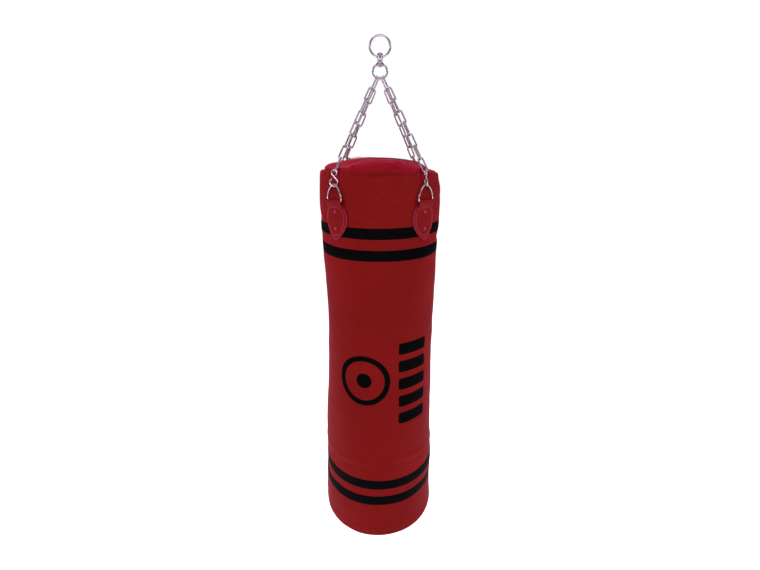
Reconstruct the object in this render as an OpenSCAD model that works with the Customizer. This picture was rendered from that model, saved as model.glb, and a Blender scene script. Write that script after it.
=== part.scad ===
// Heavy bag that hangs from one ring: ring, swivel, gathering ring, four chains,
// four S-hooks, four D-rings in riveted tabs, and a filled vinyl bag.
// Origin: the seat under the crown of the hanger ring, where a hook bears. +Z is up.

/* [Hanger and swivel] */
// Mean radius of the hanger ring
hanger_r = 25; // [22:0.5:32]
// Wire diameter of the hanger ring
hanger_wire = 5; // [4.5:0.5:5]
// Mean radius of the lower ring that gathers the chains
gather_r = 17.75; // [17.5:0.25:20]
// Wire diameter of the lower ring
gather_wire = 4.5; // [4:0.5:4.5]
// Distance between the two ring wires inside the swivel
swivel_drop = 15; // [15:0.5:18]
// Width of the swivel eye along the hanger ring's wire
eye_w = 13.5; // [12:0.5:15]
// Largest radius of the swivel bell
bell_r = 10.2; // [9.5:0.1:11]

/* [Chains] */
// Wire diameter of a chain link
link_wire = 4; // [3.5:0.1:4]
// Inner length of a chain link
link_in_l = 33.4; // [33.35:0.05:33.5]
// Inner width of a chain link
link_in_w = 7.5; // [7.2:0.1:8]
// Angle round the lower ring at which the front chains hang
front_slot = 32; // [31:1:33]
// Angle round the lower ring at which the rear chains hang
rear_slot = 14; // [13:1:15]

/* [S-hooks] */
// Wire diameter of an S-hook
hook_wire = 3.8; // [3.5:0.1:3.8]
// Mean radius of the S-hook's upper loop
hook_top_r = 6.4; // [6:0.05:6.5]
// Mean radius of the S-hook's lower loop
hook_low_r = 9.2; // [8.6:0.1:9.6]
// Height of an S-hook between the centres of its top and bottom wires
hook_h = 38; // [37.4:0.1:38.6]
// Turn of the S-hook's plane from the radial plane of its tab
hook_turn = -32; // [-34:1:-30]
// Lean of the S-hook towards the bag's axis
hook_lean = 4; // [3:0.5:5]

/* [D-rings] */
// Wire diameter of a D-ring
dring_wire = 4; // [3.5:0.1:4]
// Width of a D-ring between the centres of its legs
dring_w = 50; // [48:1:54]
// Height of a D-ring between the centres of its bar and its apex
dring_h = 40; // [38:1:42]
// Radius of the D-ring's bar from the bag's axis
dring_at = 153; // [152.6:0.1:154]

/* [Bag] */
// Largest radius of the upper part of the bag
bag_r = 149; // [148.5:0.1:149.2]
// Height of the bag from its crown to its foot
bag_h = 1008; // [960:1:1050]
// Depth of the crown below the hook's seat
bag_drop = 289; // [288.8:0.05:289.2]
// How far the waist is drawn in
waist_in = 7; // [0:0.5:9]
// How far the settled filling pushes out the foot
foot_out = 6; // [0:0.5:8]
// Rounding of the rim
rim_round = 16; // [15:1:20]
// Depth of the rim's rounding below the crown
rim_depth = 36; // [34:1:38]
// Rounding of the foot
foot_round = 16; // [15:1:20]
// Thickness of the vinyl
skin_t = 1.2; // [0.8:0.1:1.5]
// Thickness of the padding sleeve
pad_t = 12; // [10:1:13]
// Radius of each dent that an S-hook presses into the rim
dent_r = 30; // [29:0.5:31]

/* [Bands] */
// Height of each black band
band_w = 27.5; // [20:0.5:28]
// Thickness of each black band
band_t = 0.8; // [0.4:0.1:0.8]
// Depth of the first band below the crown
band_1 = 155; // [152:0.5:157]
// Depth of the second band below the crown
band_2 = 208; // [205:0.5:225]
// Depth of the third band below the crown
band_3 = 833; // [700:0.5:840]
// Depth of the fourth band below the crown
band_4 = 881.5; // [870:0.5:900]

/* [Tabs] */
// Depth of the D-ring's bar below the crown
bar_depth = 97.5; // [97:0.1:98]
// Largest width of a tab
tab_w = 77; // [70:1:79]
// Width of the neck that wraps the D-ring's bar
neck_w = 38; // [30:1:39]
// Distance from the bar down to the tab's tip
tab_l = 98; // [90:1:104]
// Thickness of a tab
tab_t = 2.4; // [2:0.1:2.6]
// Diameter of a rivet's head
rivet_head = 8; // [6:0.5:10]
// Diameter of a rivet's shank
rivet_shank = 3; // [2.5:0.1:3.5]
// Distance from the bar down to the upper rivet
rivet_1 = 25; // [22:1:28]
// Distance from the bar down to the lower rivet
rivet_2 = 65; // [60:1:68]

/* [Zip] */
// Length of the zip across the top cover
zip_l = 200; // [160:5:230]
// Width of the zip tape
tape_w = 26; // [20:1:30]
// Height of the row of teeth above the tape
teeth_h = 1.2; // [0.8:0.1:1.6]

/* [Hidden] */
$fn = 64;
gap = 0.15;        // play between pieces that touch under load
layer_gap = 0.1;   // space between the bag's layers
CORNERS = ["front_left", "front_right", "rear_right", "rear_left"];
CORNER_ANGLES = [225, 315, 45, 135];
SLOTS = [-front_slot, front_slot, rear_slot, -rear_slot];
LINK_COUNT = 8;

ZINC = [0.78, 0.76, 0.80];
RED = [0.50, 0.07, 0.08];
RED_TRIM = [0.62, 0.10, 0.14];
BLACK = [0.02, 0.02, 0.02];

// Heights of the hardware's fixed points
hanger_z = hanger_wire / 2 - hanger_r;
eye_wire_z = hanger_z - hanger_r;
bell_wire_z = eye_wire_z - swivel_drop;
gather_z = bell_wire_z - gather_r;
eye_slot_r = hanger_r + hanger_wire / 2 + 0.8;
bell_slot_r = gather_r + gather_wire / 2 + 0.5;
eye_floor_z = hanger_z - eye_slot_r;
bell_roof_z = gather_z + bell_slot_r;
washer_t = 0.6;
seam_z = (eye_floor_z + bell_roof_z + washer_t) / 2;
crown_z = -bag_drop;
foot_z = crown_z - bag_h;
bar_z = crown_z - bar_depth;

// ---- vectors ----

function unit(v) = v / norm(v);
function off_axis(v, axis) = unit(v - (v * axis) * axis);
function turned(v, a) = [v.x * cos(a) - v.y * sin(a), v.x * sin(a) + v.y * cos(a), v.z];

// Moves children so that their X and Y run along ex and ey, with their origin at o
module placed(o, ex, ey) {
    ez = cross(ex, ey);
    multmatrix([[ex.x, ey.x, ez.x, o.x], [ex.y, ey.y, ez.y, o.y], [ex.z, ey.z, ez.z, o.z], [0, 0, 0, 1]])
        children();
}

// ---- wire shapes, drawn in the XY plane ----

module bend(c, r, from, to, wire) {
    translate([c.x, c.y, 0])
        rotate(from)
            rotate_extrude(angle = to - from)
                translate([r, 0])
                    circle(d = wire);
}

module rod(p, q, wire) {
    run = q - p;
    translate([p.x, p.y, 0])
        rotate(atan2(run.y, run.x))
            rotate([0, 90, 0])
                cylinder(d = wire, h = norm(run));
}

// Upset in the wire where one bend runs into the next
module bead(p, wire) {
    translate([p.x, p.y, 0])
        sphere(d = wire + 0.08);
}

module ring(r, wire) {
    rotate_extrude()
        translate([r, 0])
            circle(d = wire);
}

// ---- where the S-hooks and chains lie, in a tab's own frame: X outward, Y round the bag ----

hook_up = [-sin(hook_lean), 0, cos(hook_lean)];
hook_out = [cos(hook_lean) * cos(hook_turn), sin(hook_turn), sin(hook_lean) * cos(hook_turn)];
hook_seat_gap = 0.9;
hook_base = [dring_at, 0, bar_z + dring_h - (dring_wire + hook_wire) / 2 - hook_seat_gap];
hook_span = hook_h - hook_top_r - hook_low_r;
hook_cross = asin((hook_top_r + hook_low_r) / hook_span);
hook_low_c = hook_base + hook_low_r * hook_up;
hook_top_c = hook_low_c + hook_span * hook_up;

// The point on the lower ring from which a chain hangs, and the ring wire's direction there
function chain_start(c) = [gather_r * sin(SLOTS[c]), 0, gather_z - gather_r * cos(SLOTS[c])];
function slot_along(c) = [cos(SLOTS[c]), 0, sin(SLOTS[c])];

// The pull of the chain turns the contact round the S-hook's upper loop by this angle
function pull(c) = unit(turned(chain_start(c), -CORNER_ANGLES[c]) - hook_top_c);
function contact(c) = atan2(-(pull(c) * hook_out), pull(c) * hook_up);
function chain_end(c) = turned(
    hook_top_c + hook_top_r * (cos(contact(c)) * hook_up - sin(contact(c)) * hook_out),
    CORNER_ANGLES[c]);
function hook_along(c) = turned(
    cos(contact(c)) * hook_out + sin(contact(c)) * hook_up,
    CORNER_ANGLES[c]);

function chain_dir(c) = unit(chain_end(c) - chain_start(c));
function chain_l(c) = norm(chain_end(c) - chain_start(c));
function pitch(c) = (chain_l(c) + (gather_wire + hook_wire) / 2 + 2 * gap - link_in_l) / (LINK_COUNT - 1);
function link_centre(c, k) =
    chain_start(c) + (link_in_l / 2 - gather_wire / 2 - gap + k * pitch(c)) * chain_dir(c);

// The first link is square to the lower ring and the last one to the S-hook, and the turn between
// them is shared out so that neighbours cross at close to a right angle
function first_normal(c) = off_axis(slot_along(c), chain_dir(c));
function last_normal(c) = off_axis(hook_along(c), chain_dir(c));
function chain_turn(c) = atan2(
    chain_dir(c) * cross(first_normal(c), last_normal(c)),
    first_normal(c) * last_normal(c));
function half_turns(a) = a - 180 * floor(a / 180);
function link_step(c) = (half_turns(chain_turn(c)) + 540) / (LINK_COUNT - 1);
function link_normal(c, k) =
    cos(k * link_step(c)) * first_normal(c)
    + sin(k * link_step(c)) * cross(chain_dir(c), first_normal(c));

// ---- hanger and swivel ----

module hanger_ring() {
    color(ZINC)
        placed([0, 0, hanger_z], [1, 0, 0], [0, 0, 1])
            ring(hanger_r, hanger_wire);
}

// Channel that follows a ring's wire, cut square, with its axis along Y
module ring_channel(z, inner, outer, w) {
    translate([0, 0, z])
        rotate([90, 0, 0])
            difference() {
                cylinder(r = outer, h = w, center = true);
                cylinder(r = inner, h = w + 1, center = true);
            }
}

eye_crown = 8.6;     // metal above the hanger ring's wire
eye_half_y = 8.6;    // half the eye's thickness across its hole
eye_slot_w = 7.6;    // width of the eye's hole across the wire
eye_neck_r = 5.6;    // radius of the eye at the seam

module swivel_eye() {
    top_z = eye_wire_z + hanger_wire / 2 + gap + eye_crown;
    dome_z = top_z - eye_half_y;
    slot_in = hanger_r - hanger_wire / 2 - gap;
    color(ZINC)
        difference() {
            intersection() {
                rotate_extrude()
                    union() {
                        intersection() {
                            translate([0, dome_z])
                                circle(r = eye_half_y);
                            translate([0, dome_z])
                                square([eye_half_y + 1, eye_half_y + 1]);
                        }
                        polygon([[0, seam_z], [eye_neck_r, seam_z], [eye_neck_r, seam_z + 1.2],
                                 [eye_half_y, eye_floor_z + 1.2], [eye_half_y, dome_z], [0, dome_z]]);
                    }
                cube([eye_w, 4 * eye_half_y, 200], center = true);
            }
            ring_channel(hanger_z, slot_in, eye_slot_r, eye_slot_w);
            translate([0, 0, seam_z - 1])
                cylinder(d = spindle_d, h = 6);
            translate([0, 0, eye_floor_z - spindle_sink])
                cylinder(d1 = spindle_d, d2 = spindle_head, h = spindle_sink);
        }
}

spindle_d = 4;       // diameter of the swivel's rivet
spindle_head = 7;    // diameter of its countersunk heads
spindle_sink = 1.5;  // depth of its countersinks
spindle_play = 0.05; // running clearance in the bell

module swivel_rivet() {
    low_z = bell_roof_z + 0.3;
    color(ZINC)
        rotate_extrude()
            polygon([[0, eye_floor_z], [spindle_head / 2, eye_floor_z],
                     [spindle_d / 2, eye_floor_z - spindle_sink], [spindle_d / 2, low_z + spindle_sink],
                     [spindle_head / 2, low_z], [0, low_z]]);
}

module swivel_washer() {
    color(ZINC)
        translate([0, 0, seam_z - washer_t])
            difference() {
                cylinder(r = eye_neck_r, h = washer_t - 0.05);
                translate([0, 0, -1])
                    cylinder(d = spindle_d + 2 * spindle_play, h = washer_t + 2);
            }
}

module swivel_bell() {
    roof_z = seam_z - washer_t - 0.05;
    wide_z = bell_wire_z - 1.5;
    low_z = bell_wire_z - 7;
    slot_in = gather_r - gather_wire / 2 - gap;
    color(ZINC)
        difference() {
            rotate_extrude()
                polygon([[0, roof_z], [eye_neck_r, roof_z], [eye_neck_r + 0.3, roof_z - 2],
                         [bell_r - 1.6, wide_z + 3.2], [bell_r - 0.3, wide_z + 1.2], [bell_r, wide_z],
                         [bell_r - 0.6, wide_z - 1.8], [bell_r - 2.6, low_z + 1.6],
                         [bell_r - 5.6, low_z + 0.3], [0, low_z]]);
            ring_channel(gather_z, slot_in, bell_slot_r, 7);
            translate([0, 0, bell_roof_z - 1])
                cylinder(r = spindle_d / 2 + spindle_play, h = 12);
            translate([0, 0, bell_roof_z])
                cylinder(d1 = spindle_head + 1, d2 = spindle_d + 0.2, h = spindle_sink + 0.6);
        }
}

module lower_ring() {
    color(ZINC)
        placed([0, 0, gather_z], [1, 0, 0], [0, 0, 1])
            ring(gather_r, gather_wire);
}

// ---- chains, S-hooks and D-rings ----

module link_shape() {
    r = (link_in_w + link_wire) / 2;
    end_y = (link_in_l - link_in_w) / 2;
    bend([0, end_y], r, 0, 180, link_wire);
    bend([0, -end_y], r, 180, 360, link_wire);
    for (side = [-1, 1])
        rod([side * r, -end_y], [side * r, end_y], link_wire);
}

module chain_link(c, k) {
    dir = chain_dir(c);
    color(ZINC)
        placed(link_centre(c, k), cross(dir, link_normal(c, k)), dir)
            link_shape();
}

// A closed S: each loop ends in a short tail beside the crossing bar
module s_hook_shape() {
    low = [0, 0];
    top = [0, hook_span];
    side = [cos(hook_cross), sin(hook_cross)];
    top_end = 195;
    low_end = 35;
    tail = 5.2;
    bar_top = [top.x + hook_top_r * side.x, top.y - hook_top_r * side.y];
    bar_low = [low.x - hook_low_r * side.x, low.y + hook_low_r * side.y];
    rod(bar_top, bar_low, hook_wire);
    bead(bar_top, hook_wire);
    bead(bar_low, hook_wire);
    bend(top, hook_top_r, -hook_cross, top_end, hook_wire);
    bend(low, hook_low_r, 180 - hook_cross, 360 + low_end, hook_wire);
    hook_tail(top, hook_top_r, top_end, tail);
    hook_tail(low, hook_low_r, low_end, tail);
}

module hook_tail(c, r, a, l) {
    start = c + r * [cos(a), sin(a)];
    rod(start, start + l * [-sin(a), cos(a)], hook_wire);
    bead(start, hook_wire);
}

module s_hook(c) {
    color(ZINC)
        rotate(CORNER_ANGLES[c])
            placed(hook_low_c, hook_out, hook_up)
                s_hook_shape();
}

dring_foot_r = 4.5;  // corner radius at each end of the bar
dring_apex_r = 7.5;  // bend radius at the apex

// A pointed arch on a straight bar: each leg is one long arc that runs into the apex bend
module d_ring_shape() {
    half = dring_w / 2;
    rise = dring_h - dring_apex_r - dring_foot_r;
    reach = half - dring_apex_r;
    leg_x = (rise * rise - reach * reach) / (2 * reach);
    leg_r = half + leg_x;
    leg_a = atan2(rise, leg_x);
    flat = half - dring_foot_r;
    rod([-flat, 0], [flat, 0], dring_wire);
    bend([0, dring_h - dring_apex_r], dring_apex_r, leg_a, 180 - leg_a, dring_wire);
    for (side = [0, 1])
        mirror([side, 0, 0]) {
            bend([flat, dring_foot_r], dring_foot_r, -90, 0, dring_wire);
            bend([-leg_x, dring_foot_r], leg_r, 0, leg_a, dring_wire);
            bead([dring_apex_r * cos(leg_a), dring_h - dring_apex_r + dring_apex_r * sin(leg_a)], dring_wire);
        }
}

module d_ring(c) {
    color(ZINC)
        rotate(CORNER_ANGLES[c])
            placed([dring_at, 0, bar_z], [0, 1, 0], [0, 0, 1])
                d_ring_shape();
}

// ---- the bag's layers ----

waist_depth = 470;   // where the bag is slimmest
waist_span = 760;    // length of the stretch that is drawn in

function side_r(d) = bag_r
    - waist_in * (0.5 + 0.5 * cos(360 * (d - waist_depth) / waist_span))
    + foot_out * pow(d / bag_h, 6);

// The crown is one arc that runs into the rim's rounding
rim_e = side_r(rim_depth) - rim_round;
crown_r = (rim_e * rim_e + rim_depth * rim_depth - rim_round * rim_round)
    / (2 * (rim_depth - rim_round));
crown_c = crown_z - crown_r;
crown_a = atan2(rim_e, crown_r - rim_depth);

// Half outline of the bag, t inside its surface
module bag_outline(t) {
    side_from = rim_depth + 8;
    side_to = bag_h - foot_round - 8;
    side_n = 26;
    foot_e = side_r(bag_h - foot_round) - foot_round;
    crown = [for (i = [0:6]) let (a = crown_a * i / 6)
        [(crown_r - t) * sin(a), crown_c + (crown_r - t) * cos(a)]];
    rim = [for (i = [1:5]) let (a = (90 - crown_a) * (1 - i / 5))
        [rim_e + (rim_round - t) * cos(a), crown_z - rim_depth + (rim_round - t) * sin(a)]];
    side = [for (i = [0:side_n]) let (d = side_from + (side_to - side_from) * i / side_n)
        [side_r(d) - t, crown_z - d]];
    foot = [for (i = [0:6]) let (a = -90 * i / 6)
        [foot_e + (foot_round - t) * cos(a), foot_z + foot_round + (foot_round - t) * sin(a)]];
    polygon(concat(crown, rim, side, foot, [[0, foot_z + t]]));
}

// Where the S-hooks press into the rim, grown by t for the layers beneath
module dents(t) {
    dent_at = dring_at + 13.5;
    for (a = CORNER_ANGLES)
        rotate(a)
            translate([dent_at, 0, bar_z + 22 - t])
                cylinder(r = dent_r + t, h = 120);
}

module layer(outer, inner) {
    difference() {
        rotate_extrude()
            difference() {
                bag_outline(outer);
                bag_outline(inner);
            }
        dents(outer);
    }
}

// Lining of the dents, so that a layer stays closed behind them
module dent_walls(outer, inner) {
    intersection() {
        rotate_extrude()
            bag_outline(outer);
        difference() {
            dents(inner);
            dents(outer);
        }
    }
}

module rivet_places() {
    for (a = CORNER_ANGLES)
        for (drop = [rivet_1, rivet_2])
            rotate(a)
                translate([0, 0, bar_z - drop])
                    rotate([0, 90, 0])
                        children();
}

module rivet_holes(d) {
    rivet_places()
        translate([0, 0, bag_r - 30])
            cylinder(d = d, h = 60);
}

cover_r = 128;       // radius of the top cover at its seam
base_r = 134;        // radius of the bottom cover at its seam
seam_gap = 0.1;

module between(z0, z1, r0, r1) {
    translate([0, 0, z0])
        difference() {
            cylinder(r = r1, h = z1 - z0);
            if (r0 > 0)
                translate([0, 0, -1])
                    cylinder(r = r0, h = z1 - z0 + 2);
        }
}

module shell_wall() {
    color(RED)
        difference() {
            union() {
                layer(0, skin_t);
                dent_walls(0, skin_t);
            }
            between(crown_z - rim_depth, crown_z + 5, 0, cover_r + seam_gap);
            between(foot_z - 5, foot_z + 20, 0, base_r + seam_gap);
            rivet_holes(rivet_shank + 0.1);
        }
}

module top_cover() {
    color(RED)
        intersection() {
            rotate_extrude()
                difference() {
                    bag_outline(0);
                    bag_outline(skin_t);
                }
            between(crown_z - rim_depth, crown_z + 5, 0, cover_r);
        }
}

module bottom_cover() {
    color(RED)
        between(foot_z, foot_z + skin_t, 0, base_r);
}

module wall_padding() {
    start = skin_t + layer_gap;
    color([0.55, 0.53, 0.48])
        difference() {
            union() {
                layer(start, start + pad_t);
                dent_walls(start, start + pad_t);
            }
            between(crown_z - 30, crown_z + 5, 0, cover_r);
            between(foot_z - 5, foot_z + start + pad_t, 0, base_r);
            rivet_places()
                translate([0, 0, bag_r - 8])
                    cylinder(d = 12, h = 12);
        }
}

module filling() {
    start = skin_t + pad_t + 2 * layer_gap;
    color([0.35, 0.36, 0.40])
        difference() {
            rotate_extrude()
                bag_outline(start);
            dents(start);
        }
}

// ---- bands and tabs ----

module band(depth) {
    n = 4;
    inner = [for (i = [0:n]) let (d = depth + band_w * i / n)
        [side_r(d) + layer_gap, crown_z - d]];
    outer = [for (i = [n:-1:0]) let (d = depth + band_w * i / n)
        [side_r(d) + layer_gap + band_t, crown_z - d]];
    rotate_extrude()
        polygon(concat(inner, outer));
}

module upper_bands() {
    color(BLACK)
        difference() {
            union() {
                band(band_1);
                band(band_2);
            }
            rivet_holes(rivet_shank + 0.1);
        }
}

module lower_bands() {
    color(BLACK) {
        band(band_3);
        band(band_4);
    }
}

tab_at = bag_r + 0.8;  // radius of a tab's back
tab_widest = 40;       // distance from the bar down to the widest place
tab_head = 11;         // distance from the bar down to the stitched head line
tab_head_w = 58;       // width at the head line

// Half width of a tab at a distance below the bar
function tab_half(y) = y < tab_head
    ? neck_w / 2
    : y < tab_widest
        ? tab_head_w / 2 + (tab_w - tab_head_w) / 2 * sin(90 * (y - tab_head) / (tab_widest - tab_head))
        : tab_w / 2 * (1 - pow((y - tab_widest) / (tab_l - tab_widest), 2));

module tab_outline() {
    ys = concat([2.6, tab_head - 0.01], [for (i = [0:20]) tab_head + (tab_l - tab_head) * i / 20]);
    right = [for (y = ys) [tab_half(y), -y]];
    left = [for (i = [len(ys) - 2:-1:0]) [-tab_half(ys[i]), -ys[i]]];
    polygon(concat(right, left));
}

module tab() {
    sleeve_r = 3.7;
    hole_r = 2.3;
    difference() {
        union() {
            intersection() {
                translate([bag_r - 30, 0, bar_z])
                    rotate([90, 0, 90])
                        linear_extrude(60)
                            tab_outline();
                between(bar_z - 120, bar_z + 10, tab_at, tab_at + tab_t);
            }
            translate([dring_at, 0, bar_z])
                rotate([90, 0, 0])
                    cylinder(r = sleeve_r, h = neck_w, center = true);
        }
        translate([dring_at, 0, bar_z])
            rotate([90, 0, 0])
                cylinder(r = hole_r, h = neck_w + 20, center = true);
    }
}

module strap_tabs() {
    color(RED_TRIM)
        difference() {
            for (a = CORNER_ANGLES)
                rotate(a)
                    tab();
            rivet_holes(rivet_shank + 0.1);
        }
}

rivet_dome = 2.2;      // height of a rivet's head
washer_d = 10;         // diameter of the washer inside the wall

module rivets() {
    seat = tab_at + tab_t + 0.05;
    dome_r = (pow(rivet_head / 2, 2) + rivet_dome * rivet_dome) / (2 * rivet_dome);
    tail_from = bag_r - 7;
    color(RED_TRIM)
        rivet_places() {
            translate([0, 0, tail_from])
                cylinder(d = rivet_shank, h = seat - tail_from + 0.5);
            translate([0, 0, seat])
                intersection() {
                    translate([0, 0, rivet_dome - dome_r])
                        sphere(r = dome_r);
                    cylinder(d = rivet_head + 1, h = rivet_dome + 1);
                }
        }
}

module rivet_washers() {
    color(ZINC)
        rivet_places()
            translate([0, 0, bag_r - 6.6])
                difference() {
                    cylinder(d = washer_d, h = 1);
                    translate([0, 0, -1])
                        cylinder(d = rivet_shank + 0.1, h = 3);
                }
}

// ---- zip ----

tape_t = 0.8;
teeth_w = 5;
slider_a = -10;      // angle of the closed slider round the crown's centre

// A strip of the crown, w wide and reach either side of the middle, from radius r0 to r1
module crown_strip(reach, w, r0, r1) {
    intersection() {
        translate([0, 0, crown_c])
            rotate([90, 0, 0])
                difference() {
                    cylinder(r = r1, h = w, center = true);
                    cylinder(r = r0, h = w + 1, center = true);
                }
        translate([-reach, -w, crown_z - 60])
            cube([2 * reach, 2 * w, 80]);
    }
}

module zip_tape() {
    tape_r = crown_r + 0.1;
    color(RED) {
        crown_strip(zip_l / 2, tape_w, tape_r, tape_r + tape_t);
        crown_strip(zip_l / 2, teeth_w, tape_r + tape_t - 0.1, tape_r + tape_t + teeth_h);
    }
}

module on_crown(a) {
    translate([0, 0, crown_c])
        rotate([0, a, 0])
            translate([0, 0, crown_r])
                children();
}

slider_l = 14;
slider_w = 10;
teeth_top = 0.1 + tape_t + teeth_h;

module zip_slider() {
    color(ZINC)
        on_crown(slider_a) {
            translate([0, 0, teeth_top + 0.4])
                difference() {
                    translate([-slider_l / 2, -slider_w / 2, -1])
                        cube([slider_l, slider_w, 2.2]);
                    translate([-slider_l, -teeth_w / 2 - 0.4, -2])
                        cube([2 * slider_l, teeth_w + 0.8, 2]);
                }
            for (side = [-1, 1])
                translate([side * 4.5, -1, teeth_top + 1])
                    translate([-0.9, 0, 0])
                        cube([1.8, 2, 4.6]);
            translate([-5.4, -1, teeth_top + 4.4])
                cube([10.8, 2, 1.2]);
        }
}

pull_l = 34;
pull_w = 9;
pull_t = 1.4;

// The pull lies on the crown and turns on the slider's bridge
module zip_pull() {
    color(ZINC)
        on_crown(slider_a)
            translate([0, 0, teeth_top + 2.1])
                difference() {
                    translate([-0.8, -pull_w / 2, 0])
                        cube([pull_l, pull_w, pull_t]);
                    translate([0.8, -1.6, -1])
                        cube([7.2, 3.2, pull_t + 2]);
                    translate([pull_l - 6, 0, -1])
                        cylinder(d = 5, h = pull_t + 2);
                }
}

// ---- the part ----

hanger_ring();
swivel_eye();
swivel_rivet();
swivel_washer();
swivel_bell();
lower_ring();
for (c = [0:3]) {
    for (k = [0:LINK_COUNT - 1])
        chain_link(c, k);
    s_hook(c);
    d_ring(c);
}
shell_wall();
top_cover();
bottom_cover();
wall_padding();
filling();
upper_bands();
lower_bands();
strap_tabs();
rivets();
rivet_washers();
zip_tape();
zip_slider();
zip_pull();
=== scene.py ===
import math
import random

import bpy
import numpy as np
from mathutils import Matrix, Vector, noise
from mathutils.bvhtree import BVHTree


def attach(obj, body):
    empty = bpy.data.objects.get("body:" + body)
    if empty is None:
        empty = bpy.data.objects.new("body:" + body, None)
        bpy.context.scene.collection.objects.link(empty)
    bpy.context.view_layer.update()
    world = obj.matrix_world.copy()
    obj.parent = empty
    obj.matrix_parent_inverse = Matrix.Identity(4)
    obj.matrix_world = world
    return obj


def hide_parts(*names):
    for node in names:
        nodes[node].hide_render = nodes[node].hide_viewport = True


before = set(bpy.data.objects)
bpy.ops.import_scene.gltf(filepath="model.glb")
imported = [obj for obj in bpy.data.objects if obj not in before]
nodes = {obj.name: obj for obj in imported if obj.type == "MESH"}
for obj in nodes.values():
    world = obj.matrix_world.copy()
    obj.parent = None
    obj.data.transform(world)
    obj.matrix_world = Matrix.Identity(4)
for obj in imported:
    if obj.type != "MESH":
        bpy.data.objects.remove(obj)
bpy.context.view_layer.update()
random.seed(7)
MM = 0.001

# The bag's own measures, in millimetres, as in part.scad
CROWN_Z = -289.0
BAG_H = 1008.0
FOOT_Z = CROWN_Z - BAG_H
BAG_R = 149.0
BAR_DEPTH = 97.5
TAB_ANGLES = (225, 315, 45, 135)
BANDS = ((155, 182.5), (208, 235.5), (833, 860.5), (881.5, 909))
CROWN_ARC = 465.947
RIM_E, RIM_DEPTH, RIM_ROUND = 132.657, 36.0, 16.0


# ---------------------------------------------------------------- helpers

def smooth(a, b, x):
    t = min(1.0, max(0.0, (x - a) / (b - a)))
    return t * t * (3 - 2 * t)


def table(points, x):
    if x <= points[0][0]:
        return points[0][1]
    for (x0, y0), (x1, y1) in zip(points, points[1:]):
        if x <= x1:
            t = (x - x0) / (x1 - x0)
            t = t * t * (3 - 2 * t)
            return y0 + (y1 - y0) * t
    return points[-1][1]


def mesh_object(name, verts, faces, material=None, scale=MM, shade=True):
    me = bpy.data.meshes.new(name)
    me.from_pydata([tuple(c * scale for c in v) for v in verts], [], faces)
    me.validate()
    me.update()
    ob = bpy.data.objects.new(name, me)
    bpy.context.scene.collection.objects.link(ob)
    if material:
        me.materials.append(material)
    if shade:
        me.shade_smooth()
    return ob


def apply_modifiers(ob):
    deps = bpy.context.evaluated_depsgraph_get()
    me = bpy.data.meshes.new_from_object(ob.evaluated_get(deps))
    ob.modifiers.clear()
    old = ob.data
    ob.data = me
    bpy.data.meshes.remove(old)


# ---------------------------------------------------------------- materials

class Nodes:
    def __init__(self, name):
        self.mat = bpy.data.materials.new(name)
        self.mat.use_nodes = True
        self.tree = self.mat.node_tree
        self.bsdf = self.tree.nodes["Principled BSDF"]
        self.coord = self.tree.nodes.new("ShaderNodeTexCoord")

    def node(self, kind, **values):
        n = self.tree.nodes.new(kind)
        for k, v in values.items():
            if hasattr(n, k):
                setattr(n, k, v)
            else:
                n.inputs[k.replace("_", " ").title()].default_value = v
        return n

    def link(self, a, out, b, inp):
        self.tree.links.new(a.outputs[out], b.inputs[inp])

    def place(self, scale=(1, 1, 1), rotation=(0, 0, 0)):
        m = self.tree.nodes.new("ShaderNodeMapping")
        m.inputs["Scale"].default_value = scale
        m.inputs["Rotation"].default_value = rotation
        self.link(self.coord, "Object", m, "Vector")
        return m

    def noise(self, scale, detail=3.0, rough=0.5, at=None):
        n = self.tree.nodes.new("ShaderNodeTexNoise")
        n.inputs["Scale"].default_value = scale
        n.inputs["Detail"].default_value = detail
        n.inputs["Roughness"].default_value = rough
        if at:
            self.link(at, "Vector", n, "Vector")
        else:
            self.link(self.coord, "Object", n, "Vector")
        return n

    def voronoi(self, scale, feature="DISTANCE_TO_EDGE", at=None):
        n = self.tree.nodes.new("ShaderNodeTexVoronoi")
        n.feature = feature
        n.inputs["Scale"].default_value = scale
        if at:
            self.link(at, "Vector", n, "Vector")
        else:
            self.link(self.coord, "Object", n, "Vector")
        return n

    def ramp(self, source, out, stops):
        n = self.tree.nodes.new("ShaderNodeValToRGB")
        els = n.color_ramp.elements
        while len(els) < len(stops):
            els.new(0.5)
        for e, (pos, col) in zip(els, stops):
            e.position = pos
            e.color = col if len(col) == 4 else (*col, 1)
        self.link(source, out, n, "Fac")
        return n

    def bump(self, height, out, strength, distance, below=None):
        n = self.tree.nodes.new("ShaderNodeBump")
        n.inputs["Strength"].default_value = strength
        n.inputs["Distance"].default_value = distance
        self.link(height, out, n, "Height")
        if below:
            self.link(below, "Normal", n, "Normal")
        return n

    def set(self, name, value):
        self.bsdf.inputs[name].default_value = value


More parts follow.
